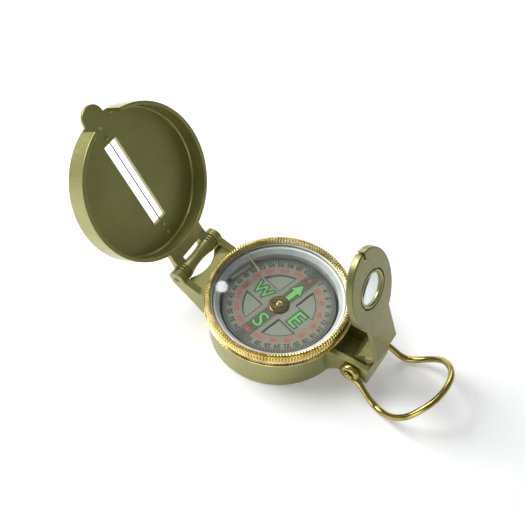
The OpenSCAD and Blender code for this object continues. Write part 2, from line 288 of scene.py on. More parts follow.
def piece(obj, body, slot, look, *nodes, sharp=38):
    """Finishes a piece: metres, smooth shading, material, body and the CAD nodes that it replaces. slot is
    not used.
    """
    obj.data.transform(Matrix.Scale(MM, 4))
    obj.data.shade_smooth()
    obj.data.set_sharp_from_angle(angle=math.radians(sharp))
    even = obj.modifiers.new("even_normals", "WEIGHTED_NORMAL")
    even.keep_sharp = True
    dress(obj, look)
    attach(obj, body)
    if nodes:
        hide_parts(*nodes)
    return obj


# ---------------------------------------------------------------- materials

class Look:
    """A material with one Principled shader and short ways to add procedural detail to it."""

    def __init__(self, name, colour, metallic=0.0, roughness=0.5, **settings):
        self.material = bpy.data.materials.new(name)
        self.material.use_nodes = True
        self.tree = self.material.node_tree
        self.shader = next(n for n in self.tree.nodes if n.type == "BSDF_PRINCIPLED")
        self.output = next(n for n in self.tree.nodes if n.type == "OUTPUT_MATERIAL")
        self.shader.inputs["Base Color"].default_value = (*colour, 1)
        self.shader.inputs["Metallic"].default_value = metallic
        self.shader.inputs["Roughness"].default_value = roughness
        for socket, value in settings.items():
            self.shader.inputs[socket.replace("_", " ")].default_value = value
        self.place = self.tree.nodes.new("ShaderNodeTexCoord").outputs["Object"]
        self.height = None

    def node(self, kind, **values):
        made = self.tree.nodes.new(kind)
        for key, value in values.items():
            setattr(made, key, value)
        return made

    def link(self, a, b):
        self.tree.links.new(a, b)

    def stretched(self, scale):
        """Object coordinates scaled along each axis."""
        mapping = self.node("ShaderNodeMapping")
        mapping.inputs["Scale"].default_value = scale
        self.link(self.place, mapping.inputs["Vector"])
        return mapping.outputs["Vector"]

    def noise(self, size, detail=2.0, place=None):
        """Noise whose features are about size millimetres across."""
        made = self.node("ShaderNodeTexNoise")
        made.inputs["Scale"].default_value = 1 / (size * MM)
        made.inputs["Detail"].default_value = detail
        self.link(place or self.place, made.inputs["Vector"])
        return made.outputs["Fac"]

    def spread(self, value, low, high, start=0.3, end=0.7):
        """Maps start..end of a value to low..high."""
        made = self.node("ShaderNodeMapRange")
        made.inputs["From Min"].default_value = start
        made.inputs["From Max"].default_value = end
        made.inputs["To Min"].default_value = low
        made.inputs["To Max"].default_value = high
        self.link(value, made.inputs["Value"])
        return made.outputs["Result"]

    def sum(self, a, b, operation="ADD"):
        made = self.node("ShaderNodeMath", operation=operation)
        for socket, value in zip(made.inputs, (a, b)):
            if isinstance(value, (int, float)):
                socket.default_value = value
            else:
                self.link(value, socket)
        return made.outputs[0]

    def mix(self, factor, a, b):
        """A colour between a and b, each a socket or three numbers."""
        made = self.node("ShaderNodeMix", data_type="RGBA")
        colours = [s for s in made.inputs if s.type == "RGBA"]
        for socket, value in zip(colours, (a, b)):
            if isinstance(value, tuple):
                socket.default_value = (*value, 1)
            else:
                self.link(value, socket)
        self.link(factor, made.inputs[0])
        return next(s for s in made.outputs if s.type == "RGBA")

    def colour(self, socket):
        self.link(socket, self.shader.inputs["Base Color"])
        return self

    def rough(self, value, low, high):
        self.link(self.spread(value, low, high), self.shader.inputs["Roughness"])
        return self

    def bump(self, value, depth, strength=1.0):
        """Adds relief of depth millimetres."""
        made = self.node("ShaderNodeBump")
        made.inputs["Distance"].default_value = depth * MM
        made.inputs["Strength"].default_value = strength
        self.link(value, made.inputs["Height"])
        if self.height is not None:
            self.link(self.height, made.inputs["Normal"])
        self.height = made.outputs["Normal"]
        self.link(self.height, self.shader.inputs["Normal"])
        return self

    def lets_light_through(self, tint):
        """Lamps reach what lies behind the glass."""
        clear = self.node("ShaderNodeBsdfTransparent")
        clear.inputs["Color"].default_value = (*tint, 1)
        mixed = self.node("ShaderNodeMixShader")
        self.link(self.node("ShaderNodeLightPath").outputs["Is Shadow Ray"], mixed.inputs["Fac"])
        self.link(self.shader.outputs[0], mixed.inputs[1])
        self.link(clear.outputs[0], mixed.inputs[2])
        self.link(mixed.outputs[0], self.output.inputs["Surface"])
        return self


def olive_paint(name, tone):
    """Satin metallic paint: fine flake, a slow drift of tone and a little orange peel.

    tone scales every colour.
    """
    def toned(*colour):
        return tuple(tone * c for c in colour)

    look = Look(name, toned(0.3, 0.28, 0.12), metallic=0.8, roughness=0.4, Coat_Weight=0.45,
                Coat_Roughness=0.22)
    flake = look.noise(0.22, 3)
    drift = look.noise(16, 2)
    fine = look.mix(look.spread(flake, 0, 1), toned(0.275, 0.27, 0.078), toned(0.42, 0.41, 0.145))
    dull = look.mix(look.spread(flake, 0, 1), toned(0.245, 0.24, 0.074), toned(0.37, 0.36, 0.128))
    look.colour(look.mix(look.spread(drift, 0, 1, 0.35, 0.65), fine, dull))
    look.rough(look.noise(1.6, 4), 0.34, 0.47)
    look.bump(look.noise(0.9, 2), 0.02, 0.5)
    look.bump(flake, 0.006, 0.6)
    return look.material


def brass(name, colour, deep, roughness, brushed=(1, 1, 1)):
    """Turned brass: fine tool marks and small scratches, with a warmer tone where it has dulled."""
    look = Look(name, colour, metallic=1.0, roughness=roughness)
    marks = look.noise(0.35, 4, look.stretched(brushed))
    dulled = look.noise(3.5, 3)
    look.colour(look.mix(look.spread(dulled, 0, 1, 0.4, 0.75), colour, deep))
    look.rough(look.sum(marks, dulled, "MULTIPLY"), roughness - 0.06, roughness + 0.12)
    look.bump(marks, 0.006, 0.5)
    return look.material


def steel(name, colour, roughness):
    look = Look(name, colour, metallic=1.0, roughness=roughness)
    grain = look.noise(0.25, 3, look.stretched((1, 8, 1)))
    look.colour(look.mix(look.spread(grain, 0, 1), colour, tuple(0.7 * c for c in colour)))
    look.rough(grain, roughness - 0.05, roughness + 0.1)
    look.bump(grain, 0.004, 0.4)
    return look.material


def clear_glass(name, tint):
    look = Look(name, tint, roughness=0.0, Transmission_Weight=1.0, IOR=1.45)
    look.bump(look.noise(14, 1), 0.01, 0.15)
    return look.lets_light_through(tint).material


def white_plastic():
    """Moulded capsule plastic, slightly silvered."""
    look = Look("white_plastic", (0.8, 0.81, 0.8), roughness=0.32)
    cloud = look.noise(5, 3)
    look.colour(look.mix(look.spread(cloud, 0, 1), (0.32, 0.33, 0.315), (0.42, 0.43, 0.405)))
    look.rough(look.noise(0.8, 3), 0.26, 0.42)
    look.bump(look.noise(0.5, 2), 0.01, 0.3)
    return look.material


def dial_print():
    """Card whose colour holds painted shade: a brown band where the magnet under it shows through, and a
    darker rim where the capsule wall shades it; with a warm tint round the inner scale.
    """
    look = Look("dial_print", (0.6, 0.56, 0.5), roughness=0.55)
    grain = look.noise(0.3, 4)
    card = look.mix(look.spread(grain, 0, 1), (0.13, 0.125, 0.088), (0.20, 0.19, 0.14))
    turned = look.node("ShaderNodeVectorRotate", rotation_type="Z_AXIS")
    turned.inputs["Angle"].default_value = -NORTH
    look.link(look.place, turned.inputs["Vector"])
    split = look.node("ShaderNodeSeparateXYZ")
    look.link(turned.outputs["Vector"], split.inputs["Vector"])
    radius = look.node("ShaderNodeVectorMath", operation="LENGTH")
    look.link(look.stretched((1, 1, 0)), radius.inputs[0])
    warm = look.sum(look.spread(radius.outputs["Value"], 0, 1, 0.0130, 0.0142),
                    look.spread(radius.outputs["Value"], 1, 0, 0.0164, 0.0176), "MULTIPLY")
    card = look.mix(look.sum(warm, 0.45, "MULTIPLY"), card, (0.21, 0.12, 0.075))
    # Painted shade: the card darkens towards its rim, where the capsule wall and the bezel above it shade it.
    card = look.mix(look.spread(radius.outputs["Value"], 0, 0.75, 0.0178, 0.0205), card, (0.05, 0.048, 0.035))
    # Painted shade: the magnet under the card, seen through it, darkens the card's colour in a ragged band
    # along north and south.
    across = look.sum(split.outputs["Y"], 0, "ABSOLUTE")
    magnet_shade_band = look.spread(across, 0.92, 0, 0.0020, 0.0030)
    ragged_magnet_shade = look.sum(magnet_shade_band, look.spread(look.noise(1.4, 4), 0.75, 1.1), "MULTIPLY")
    look.colour(look.mix(ragged_magnet_shade, card, (0.04, 0.027, 0.011)))
    look.rough(grain, 0.45, 0.65)
    look.bump(grain, 0.01, 0.4)
    return look.material


def ink(name, colour, pale, roughness=0.6):
    """Printed ink, a little uneven."""
    look = Look(name, colour, roughness=roughness)
    blot = look.noise(0.35, 3)
    look.colour(look.mix(look.spread(blot, 0, 1, 0.35, 0.75), colour, pale))
    look.rough(blot, roughness - 0.1, roughness + 0.1)
    look.bump(blot, 0.004, 0.4)
    return look.material


def rubber():
    """Pale silicone of the two gaskets."""
    look = Look("rubber", (0.66, 0.67, 0.65), roughness=0.6)
    grain = look.noise(0.3, 3)
    look.rough(grain, 0.6, 0.8)
    look.bump(grain, 0.01, 0.5)
    return look.material


PAINT = olive_paint("olive_paint", 1.0)
# Painted shade: a darker copy of the same olive paint for the eyepiece, standing in for the shade it sits in.
SHADED_PAINT = olive_paint("olive_paint_painted_shade", 0.62)
BEZEL_BRASS = brass("bezel_brass", (0.86, 0.72, 0.33), (0.55, 0.42, 0.14), 0.2, (1, 1, 9))
LOOP_BRASS = brass("loop_brass", (0.50, 0.41, 0.13), (0.30, 0.23, 0.06), 0.24)
HUB_BRASS = brass("hub_brass", (0.20, 0.145, 0.055), (0.12, 0.08, 0.03), 0.3)
PALE_BRASS = brass("pale_brass", (0.5, 0.37, 0.13), (0.33, 0.22, 0.07), 0.28)
STEEL = steel("steel", (0.5, 0.5, 0.52), 0.3)
PIN_STEEL = steel("pin_steel", (0.2, 0.195, 0.11), 0.42)
HAIR = steel("hair_line", (0.03, 0.03, 0.045), 0.5)
CRYSTAL = clear_glass("crystal", (0.97, 0.985, 0.98))
LENS = clear_glass("lens_glass", (0.74, 0.80, 0.82))
WHITE = white_plastic()
DIAL = dial_print()
BLACK_INK = ink("black_ink", (0.012, 0.015, 0.012), (0.05, 0.055, 0.045))
RED_INK = ink("red_ink", (0.27, 0.03, 0.02), (0.33, 0.08, 0.055))
GREEN_INK = ink("green_ink", (0.075, 0.32, 0.05), (0.16, 0.42, 0.12), 0.5)
DARK_GREEN_INK = ink("dark_green_ink", (0.008, 0.05, 0.008), (0.02, 0.09, 0.015))
GLOW = ink("luminous_paint", (0.45, 0.42, 0.18), (0.56, 0.53, 0.28))
BAR_PAINT = ink("bar_paint", (0.075, 0.08, 0.06), (0.15, 0.155, 0.12))
HEADING = ink("heading_paint", (0.30, 0.25, 0.11), (0.38, 0.33, 0.17))
RUBBER = rubber()


# ---------------------------------------------------------------- case

CASE_R, CASE_H = 26.3, 14.8
SPIGOT_R, SPIGOT_BORE_R, SPIGOT_TOP, CASE_FLOOR = 25.1, 24.3, 16.4, 2.0
LUG_IN, LUG_OUT, LUG_R = 9.7, 12.6, 3.5
WEB_EDGE_X, WEB_GAP_R = -31.3, 12.2
EAR_IN, EAR_OUT, EAR_TOP, EAR_BOTTOM, EAR_FRONT = 6.0, 8.1, 14.5, 6.0, 41.9
END_WALL_T, TRAY_T = 1.6, 1.1


def lug(side):
    outline = [(HINGE.x + LUG_R * math.cos(a), HINGE.z + LUG_R * math.sin(a))
               for a in [math.radians(10 + 15 * k) for k in range(12)]]
    outline += [(-38.6, 13.4, 2), (-31.5, 8.2, 2), (-26, 3.4, 1), (-22, 3.4), (-22, 14.7), (-26.6, 14.75, 1)]
    low, high = sorted((side * LUG_IN, side * LUG_OUT))
    return side_plate("lug", rounded(outline, 0.5), low, high, 0.35)


def make_case():
    body = lathe("case_body", rounded([
        (0, 0, 0), (CASE_R, 0, 0.8), (CASE_R, CASE_H, 0.25), (SPIGOT_R, CASE_H, 0), (SPIGOT_R, SPIGOT_TOP),
        (SPIGOT_BORE_R, SPIGOT_TOP), (SPIGOT_BORE_R, CASE_FLOOR), (0, CASE_FLOOR, 0)]))
    web = plate("web", rectangle(-34, -24, -LUG_IN - 1, LUG_IN + 1, 0.4), 7, 14.3, 0.3)
    gap = Matrix.Translation((WEB_EDGE_X - WEB_GAP_R, 0, 0))
    cut(web, rod("gap", WEB_GAP_R, 5, 17, gap, ROUND), rod("under", 4.2, -20, 20, crosswise(-34.5, 6.2)))
    block = plate("block", rounded([(20, -EAR_OUT), (EAR_FRONT, -EAR_OUT, 0.9), (EAR_FRONT, EAR_OUT, 0.9),
                                    (20, EAR_OUT)], 0.5), EAR_BOTTOM, EAR_TOP, 0.3)
    pocket = plate("pocket", rectangle(19, EAR_FRONT - END_WALL_T, -EAR_IN, EAR_IN, 0.6),
                   EAR_BOTTOM + TRAY_T, EAR_TOP + 4, 0.2)
    gusset = side_plate("gusset", rounded([(22, 2.6), (26, 2.6), (30.5, EAR_BOTTOM + 0.6),
                                           (22, EAR_BOTTOM + 0.6)], 0.4), -EAR_OUT + 0.1, EAR_OUT - 0.1, 0.3)
    unite(block, gusset)
    cut(block, pocket)
    cut(block, rod("inner", SPIGOT_BORE_R + 0.4, 1, 20, count=ROUND))
    unite(body, web, lug(1), lug(-1), block)
    cut(body, lathe("step", [(CASE_R - 0.3, CASE_H), (29.4, CASE_H), (29.4, 30), (CASE_R - 0.3, 30)]))
    body.name = "case_shell"
    return piece(body, "case", "olive_paint", PAINT, "case")


make_case()


# ---------------------------------------------------------------- capsule and dial

BOWL_R, BOWL_BORE_R, BOWL_FLOOR, BOWL_TOP = 24.2, 21.9, 4.2, 16.0
piece(lathe("capsule_wall", rounded([
    (8, 2.6), (BOWL_R - 0.2, 2.6), (BOWL_R, BOWL_TOP, 0.1), (23.3, BOWL_TOP, 0.15),
    (BOWL_BORE_R, 14.6, 0.5), (BOWL_BORE_R, BOWL_FLOOR, 1.5), (8, BOWL_FLOOR, 0)])),
    "case", "white_plastic", WHITE, "capsule_bowl")
piece(lathe("capsule_glass", rounded([(0, 16.2, 0), (24.1, 16.2, 0.1), (24.1, 16.8, 0.1), (0, 16.8, 0)])),
      "case", "clear_glass", CRYSTAL, "capsule_lens")

CARD_TOP = 12.85
PRINT_T = 0.02
WINDOW_R, ARM_W = 13.3, 4.5


def hub():
    return lathe("hub", rounded([
        (0, 8.95, 0), (1.5, 8.95), (1.75, 9.3), (1.75, CARD_TOP, 0), (3.95, CARD_TOP, 0), (3.95, 13.1, 0.12),
        (3.5, 13.28, 0.1), (2.2, 13.34, 0.4), (1.4, 13.2, 0.2), (0, 13.2, 0)], 0.1), count=96)


piece(hub(), "dial", "brass", HUB_BRASS, "dial_hub")
piece(lathe("hub_dome", rounded([(0, 13.19, 0), (1.38, 13.19, 0), (1.38, 13.75, 0.3), (0.8, 14.18, 0.5),
                                 (0, 14.2, 0)]), count=SMALL_ROUND),
      "dial", "brass", BEZEL_BRASS, "dial_hub")


def flat(name, outlines, thick=PRINT_T):
    """Thin printed shapes on the card, each an outline in the dial's own plane with north along +X."""
    def build(bm):
        for outline in outlines:
            outline = anticlockwise([Vector(p[:2]) for p in outline])
            made = skin(bm, [[(p.x, p.y, z) for p in outline] for z in (CARD_TOP, CARD_TOP + thick)])
            bm.faces.new(made[0][::-1])
            bm.faces.new(made[1])
    return mesh_object(name, build, Matrix.Rotation(NORTH, 4, "Z"))


def bar(angle, r0, r1, width):
    """A radial mark; angles run clockwise from north, as a compass reads."""
    along = Vector((math.cos(-angle), math.sin(-angle)))
    across = Vector((-along.y, along.x)) * width / 2
    return [along * r0 - across, along * r1 - across, along * r1 + across, along * r0 + across]


def lettering(name, items, thick=PRINT_T):
    """Numbers and letters in the built-in font. Each item is (text, size, angle, radius, upright, offset)."""
    made = []
    for text, size, angle, radius, upright, offset in items:
        font = bpy.data.curves.new("mark", "FONT")
        font.body = text
        font.size = size
        font.align_x, font.align_y = "CENTER", "CENTER"
        font.extrude = thick / 2
        font.offset = offset
        font.resolution_u = 3
        holder = bpy.data.objects.new("mark", font)
        bpy.context.scene.collection.objects.link(holder)
        bpy.context.view_layer.update()
        mesh = bpy.data.meshes.new_from_object(holder.evaluated_get(bpy.context.evaluated_depsgraph_get()))
        bpy.data.objects.remove(holder)
        spot = Matrix.Rotation(NORTH - angle, 4, "Z") @ Matrix.Translation((radius, 0, 0))
        turn = NORTH - math.pi / 2 if upright else NORTH - angle - math.pi / 2
        centre = spot.translation + Vector((0, 0, CARD_TOP + thick / 2))
        mesh.transform(Matrix.Translation(centre) @ Matrix.Rotation(turn, 4, "Z"))
        part = bpy.data.objects.new("mark", mesh)
        bpy.context.scene.collection.objects.link(part)
        made.append(part)
    return joined(name, made)


def printed(obj, look):
    return piece(obj, "dial", "dial_print", look)


def window_outline(k):
    """One of the four windows between the arms, as its edge line."""
    turn = Matrix.Rotation(math.pi / 2 * k, 2)
    start = math.asin(ARM_W / WINDOW_R)
    arc = [(WINDOW_R * math.cos(a), WINDOW_R * math.sin(a))
           for a in [start + (math.pi / 2 - 2 * start) * i / 16 for i in range(17)]]
    return anticlockwise([turn @ Vector(p) for p in [(ARM_W, ARM_W)] + arc])


def window_frames():
    """A thin black line round each window."""
    def build(bm):
        for k in range(4):
            edge = window_outline(k)
            wide = inset(edge, -0.32)
            rings = [[(p.x, p.y, z) for p in line] for line, z in (
                (edge, CARD_TOP), (edge, CARD_TOP + PRINT_T), (wide, CARD_TOP + PRINT_T), (wide, CARD_TOP))]
            skin(bm, rings, closed_stack=True)
    return mesh_object("window_frames", build, Matrix.Rotation(NORTH, 4, "Z"))


for node, look in (("dial_card", DIAL), ("magnet_bar", STEEL), ("pivot_jewel", RED_INK)):
    dress(frame["nodes"][node], look)

printed(window_frames(), BLACK_INK)

# A frosted film behind the card closes the four windows
piece(lathe("dial_film", rounded([(1.9, 12.3, 0), (WINDOW_R + 1, 12.3, 0), (WINDOW_R + 1, 12.4, 0),
                                  (1.9, 12.4, 0)])), "dial", "dial_print",
      ink("frosted_film", (0.16, 0.168, 0.125), (0.195, 0.2, 0.152), 0.5))

scale_marks = [bar(TURN * k / 128, 19.3 if k % 4 else 18.9, 20.6, 0.45) for k in range(128)]
scale_marks += [bar(TURN * k / 72, 13.9 if k % 2 else 13.8, 14.3, 0.12) for k in range(72)]
printed(flat("dial_scale", scale_marks), BLACK_INK)
outer_numbers = [(str(2 * k), 2.45, TURN * k / 32, 17.95, False, 0.11) for k in range(32)]
inner_numbers = [(str(20 * k), 2.3, TURN * k / 18, 15.4, False, 0.1) for k in range(18)]
printed(lettering("outer_numbers", outer_numbers), BLACK_INK)
printed(lettering("inner_numbers", inner_numbers), RED_INK)

LETTERS = [("E", 9.6, math.pi / 2, 9.0), ("S", 9.2, math.pi, 9.6), ("W", 7.2, 1.5 * math.pi, 8.9)]
printed(lettering("letter_edges", [(*item, True, 0.6) for item in LETTERS], PRINT_T), DARK_GREEN_INK)
printed(lettering("letters", [(*item, True, -0.04) for item in LETTERS], 2 * PRINT_T), GREEN_INK)

ARROW = [(3.9, -0.95), (8.4, -0.95), (8.4, -2.3), (12.3, 0), (8.4, 2.3), (8.4, 0.95), (3.9, 0.95)]
printed(flat("north_edge", [inset(anticlockwise([Vector(p) for p in ARROW]), -0.5)]), DARK_GREEN_INK)
printed(flat("north_arrow", [ARROW], thick=2 * PRINT_T), GREEN_INK)


# ---------------------------------------------------------------- bezel

FLANGE_R, FLANGE_Z, FLANGE_TOP = 27.6, 14.95, 15.55
KNURL_R, KNURL_DEPTH, TEETH, PER_TOOTH = 26.9, 0.75, 150, 8
KNURL_LOW, KNURL_HIGH, BEZEL_TOP, TOP_DEPTH = 16.5, 19.75, 20.2, 0.5
GLASS_R, GLASS_TOP = 24.85, 18.05


def bezel():
    """Brass ring with rounded teeth round its outer corner and a smooth funnel down to the glass."""
    plain = rounded([
        (25.2, FLANGE_Z, 0.1), (FLANGE_R, FLANGE_Z, 0.2), (FLANGE_R, FLANGE_TOP, 0.2),
        (KNURL_R, FLANGE_TOP, 0.15), (KNURL_R, KNURL_LOW, 0.1), (KNURL_R, KNURL_HIGH, 0.35),
        (26.25, BEZEL_TOP, 0.3), (25.35, BEZEL_TOP, 0.2),
        (GLASS_R, GLASS_TOP, 0), (25.02, GLASS_TOP, 0), (25.02, 17.1, 0), (24.5, 17.1, 0), (24.5, 16.6, 0),
        (25.2, 16.6, 0)], 0.2, 5)
    profile = []
    for a, b in zip(plain, plain[1:] + plain[:1]):
        steps = 5 if a.x > 26.5 and b.x > 26.5 and abs(a.y - b.y) > 1 else 1
        profile += [a.lerp(b, k / steps) for k in range(steps)]

    def cut_share(r, z):
        """How far the tooth gaps reach in at a point of the profile: 0 below the teeth, 1 along them."""
        rise = min(1, max(0, (z - KNURL_LOW) / 0.35)) if r > 25.9 else 0
        return rise * rise * (3 - 2 * rise)

    def build(bm):
        count = TEETH * PER_TOOTH
        rings = []
        for r, z in profile:
            share = cut_share(r, z)
            ring = []
            for i in range(count):
                wave = abs(math.sin(math.pi * i / PER_TOOTH))
                depth = KNURL_DEPTH * (1 - wave) * share
                a = TURN * i / count
                drop = TOP_DEPTH * (1 - wave) if z > KNURL_HIGH and r > GLASS_R + 0.2 else 0
                ring.append(((r - depth) * math.cos(a), (r - depth) * math.sin(a), z - drop))
            rings.append(ring)
        skin(bm, rings, closed_stack=True)
    return mesh_object("knurled_bezel", build)


piece(bezel(), "bezel", "brass", BEZEL_BRASS, "bezel_ring", sharp=60)
piece(lathe("crystal", rounded([(0, 17.25, 0), (24.95, 17.25, 0.1), (24.95, GLASS_TOP, 0.12),
                                (0, GLASS_TOP, 0)])), "bezel", "clear_glass", CRYSTAL, "bezel_crystal")


def on_glass(name, angle, outline, thick, look, node):
    made = plate(name, outline, GLASS_TOP, GLASS_TOP + thick, thick * 0.3, 2,
                 Matrix.Rotation(math.radians(angle), 4, "Z"))
    return piece(made, "bezel", "luminous", look, node)


HEADING_ANGLE, GLOW_BAR_ANGLE = 153.5, 161.6
on_glass("heading_line", HEADING_ANGLE, rectangle(13.8, 24.3, -0.22, 0.22, 0.1), 0.08, HEADING,
         "marching_line")
on_glass("glow_bar_edge", GLOW_BAR_ANGLE, rectangle(16.8, 18.8, -1.3, 8.5, 0.3), 0.05, BLACK_INK,
         "luminous_bar")
on_glass("glow_bar", GLOW_BAR_ANGLE, rectangle(17.15, 18.45, -0.95, 8.15, 0.25), 0.12, BAR_PAINT,
         "luminous_bar")


# ---------------------------------------------------------------- lid

LID_R, LID_BORE_R, LID_RIM, LID_FLOOR, LID_TOP = 29, 27.6, 15.8, 22.75, 24.4
TAB_R, NOTCH_HALF, SLOT_LEN, SLOT_W = 5, 6.8, 36.2, 6.6
PEG_X, DOT_X, SPOOL_HALF, SPOOL_R = 20.3, 24.4, 9.3, 3.3
DOT_R, DOT_HOLE_R, SPOOL_BORE_R, HINGE_PLATE_X = 0.78, 0.8, 1.26, -32.2


def spool():
    """Waisted hinge barrel with two ridges at each end."""
    end = [(SPOOL_R, 0, 0.2), (SPOOL_R, 0.7, 0.2), (2.6, 0.9, 0.15), (2.6, 1.15, 0.15), (SPOOL_R, 1.35, 0.2),
           (SPOOL_R, 1.85, 0.2), (2.7, 2.05, 0.15), (2.7, 2.3, 0.15), (SPOOL_R - 0.1, 2.5, 0.2),
           (SPOOL_R - 0.1, 2.8, 0.15)]
    waist = []
    for i in range(13):
        t = i / 12
        waist.append((2.35 + 0.75 * (2 * t - 1) ** 2, 3.0 + t * (2 * SPOOL_HALF - 6.0), 0))
    far = [(r, 2 * SPOOL_HALF - y, edge) for r, y, edge in reversed(end)]
    profile = rounded([(SPOOL_BORE_R, 0, 0)] + end + waist + far + [(SPOOL_BORE_R, 2 * SPOOL_HALF, 0)])
    place = Matrix.Translation((HINGE.x, SPOOL_HALF, HINGE.z)) @ ALONG_Y
    return lathe("spool", profile, place, SMALL_ROUND)


def arm(side):
    low, high = sorted((side * 5, side * SPOOL_HALF))
    return side_plate("arm", rounded([(HINGE.x, HINGE.z - 1.6), (-31, LID_RIM - 0.15), (-29, LID_RIM + 0.2),
                                      (-29, LID_RIM + 2.3), (-31, LID_RIM + 2.4), (HINGE.x, HINGE.z + 2.6)],
                                     0.45), low, high, 0.3)


def make_lid():
    shell = lathe("lid_shell", rounded([
        (0, LID_FLOOR, 0), (LID_BORE_R, LID_FLOOR, 0.8), (LID_BORE_R, LID_RIM, 0.25), (LID_R, LID_RIM, 0.25),
        (LID_R, LID_TOP, 0.9), (0, LID_TOP, 0)], 0.3, 6))
    cut(shell, plate("notch", rectangle(25, 35, -NOTCH_HALF, NOTCH_HALF, 0.1), 10, LID_FLOOR, 0.05))
    tab = plate("tab", ellipse(LID_R, 0, TAB_R, TAB_R, 72), LID_FLOOR, LID_TOP - 0.2, 0.35)
    base = plate("base", rectangle(HINGE_PLATE_X, -27, -SPOOL_HALF, SPOOL_HALF, 0.4), LID_RIM, LID_RIM + 2.4,
                 0.25)
    roots = [base, arm(1), arm(-1)]
    for root in roots:
        cut(root, rod("hollow", LID_BORE_R + 0.6, 0, 30, count=ROUND))
    unite(shell, tab, *roots, spool())
    half, wide = SLOT_LEN / 2, SLOT_W / 2
    cut(shell, plate("slot", rectangle(-half, half, -wide, wide, 0.35), 20, 27, 0.01, 1))
    cut(shell, rod("bore", SPOOL_BORE_R, -20, 20, crosswise(HINGE.x, HINGE.z)))
    for side in (-1, 1):
        cut(shell, rod("peg_hole", DOT_HOLE_R, 20, 24, Matrix.Translation((side * PEG_X, 0, 0)), 32))
        cut(shell, rod("dot_hole", DOT_HOLE_R, 20, LID_FLOOR + 0.5,
                       Matrix.Translation((side * DOT_X, 0, 0)), 32))
    shell.data.transform(AT_LID)
    shell.name = "sighting_lid"
    return piece(shell, "lid", "olive_paint", PAINT, "lid")


make_lid()
hair_route = [Vector((-PEG_X + 0.5 + i * (2 * PEG_X - 1) / 8, 0, 22.98)) for i in range(9)]
piece(tube("hair_line", hair_route, 0.2, 16, place=AT_LID), "lid", "hair_line", HAIR, "sighting_wire")


def peg(side):
    return lathe("peg", rounded([(0, 22.4, 0), (DOT_R, 22.4, 0.2), (DOT_R, 24.0), (0, 24.0, 0)]),
                 AT_LID @ Matrix.Translation((side * PEG_X, 0, 0)), 32)


def dot(side):
    return lathe("dot", rounded([(0, 22.62, 0), (DOT_R, 22.72, 0.2), (DOT_R, 23.2), (0, 23.2, 0)]),
                 AT_LID @ Matrix.Translation((side * DOT_X, 0, 0)), 32)


piece(both_sides("hair_pegs", peg), "lid", "brass", LOOP_BRASS, "wire_pegs")
piece(both_sides("glow_dots", dot), "lid", "luminous", GLOW, "lid_dots")


# ---------------------------------------------------------------- eyepiece

PLATE_TOP, HEAD_BOTTOM, NECK_BOTTOM, BEND_X = 22.55, 19.85, 20.45, 26.5
HEAD_X, HEAD_L, HEAD_W, NECK_W, FOOT_HALF = BEND_X - 30.1, 16.7, 12, 12.8, 5.5
LENS_R, LENS_Z, RING_R = 6.0, 21.35, 7.5


def make_eyepiece():
    head = plate("head", ellipse(HEAD_X, 0, HEAD_L, HEAD_W, 144), HEAD_BOTTOM, PLATE_TOP, 0.45, 4)
    neck = side_plate("neck", rounded([
        (8, NECK_BOTTOM), (27.3, NECK_BOTTOM, 0.8), (28.1, 16.4, 0.4), (32.2, 16.4, 0.5),
        (BEND_X, PLATE_TOP, 0.8), (8, PLATE_TOP)], 0.5), -NECK_W / 2, NECK_W / 2, 0.35)
    foot = side_plate("foot", rounded([
        (27.7, 18.4), (28.8, 13.0, 2), (33.4, 8.25, 2), (PIVOT.x, 7.6, 2), (38.3, 10.2, 2), (38.2, 11.7, 1),
        (32.2, 16.4, 0.5), (30, 18.8)], 0.45), -FOOT_HALF, FOOT_HALF, 0.3)
    unite(head, neck, foot)
    at_head = Matrix.Translation((HEAD_X, 0, 0))
    cut(head, lathe("bore", rounded([(0, 10, 0), (LENS_R + 0.7, 10, 0), (LENS_R + 0.7, 20.3, 0.1),
                                     (LENS_R, 20.3, 0), (LENS_R, 21.6, 0), (RING_R, 21.6, 0), (RING_R, 27, 0),
                                     (0, 27, 0)]), at_head, 96))
    cut(head, plate("notch", rounded([(HEAD_X - HEAD_L - 1, -0.6), (HEAD_X - HEAD_L + 3.4, -0.6, 0.5),
                                      (HEAD_X - HEAD_L + 3.4, 0.6, 0.5), (HEAD_X - HEAD_L - 1, 0.6)]),
                    15, 27, 0.01, 1))
    cut(head, rod("pin_bore", 1.36, -20, 20, crosswise(PIVOT.x, PIVOT.z)))
    head.data.transform(AT_EYE)
    head.name = "eyepiece_arm"
    # The eyepiece wears the darker copy of the olive paint, which is painted shade.
    piece(head, "eyepiece", "olive_paint", SHADED_PAINT, "eyepiece_bracket")
    retainer = rounded([(5.7, 21.62, 0.1), (7.44, 21.62, 0.1), (7.44, 21.9, 0.1), (7.05, 22.0, 0.1),
                        (6.85, 22.6, 0.25), (6.25, 22.6, 0.25), (5.7, 22.1, 0.2)], steps=6)
    piece(lathe("lens_retainer", retainer, AT_EYE @ at_head, 96),
          "eyepiece", "olive_paint", PAINT, "lens_ring")
    bulge = [(5.95 * i / 12, 0.62 - 0.4 * (i / 12) ** 2) for i in range(13)]
    profile = [(r, LENS_Z - h) for r, h in bulge] + [(r, LENS_Z + h) for r, h in reversed(bulge)]
    piece(lathe("magnifier", [Vector(p) for p in profile], AT_EYE @ at_head, 96),
          "eyepiece", "clear_glass", LENS, "eyepiece_lens")


make_eyepiece()


# ---------------------------------------------------------------- pins, washers and thumb loop

EYE_Y, WIRE_R, EYE_RING_R = 9.5, 1.2, 2.65


